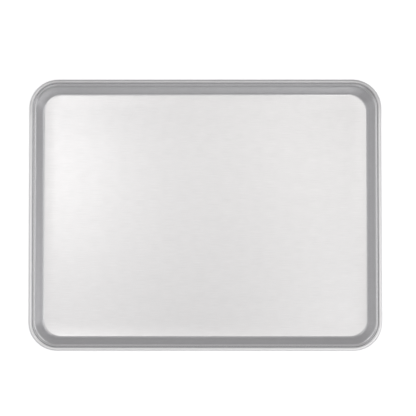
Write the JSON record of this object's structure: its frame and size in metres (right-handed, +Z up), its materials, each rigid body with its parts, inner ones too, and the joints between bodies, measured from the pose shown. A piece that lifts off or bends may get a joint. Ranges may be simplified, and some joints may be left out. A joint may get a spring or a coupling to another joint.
{
  "type": "sheet pan",
  "caption": "Shallow rounded rectangular aluminium baking pan with flared walls and a rim rolled round a steel wire.",
  "frame": {"origin": "on the underside, below the middle of the floor, where the pan rests", "axes": "+X along the long side, +Y along the short side towards the back, +Z up out of the pan"},
  "size_m": [0.4, 0.3074, 0.025],
  "materials": {
    "pan_sheet": "bare rolled aluminium, satin, with fine rolling grain",
    "rim_wire": "galvanised steel wire, dull grey"
  },
  "bodies": {
    "root": {"pan_body": "pan_sheet", "rim_wire": "rim_wire"}
  },
  "joints": []
}
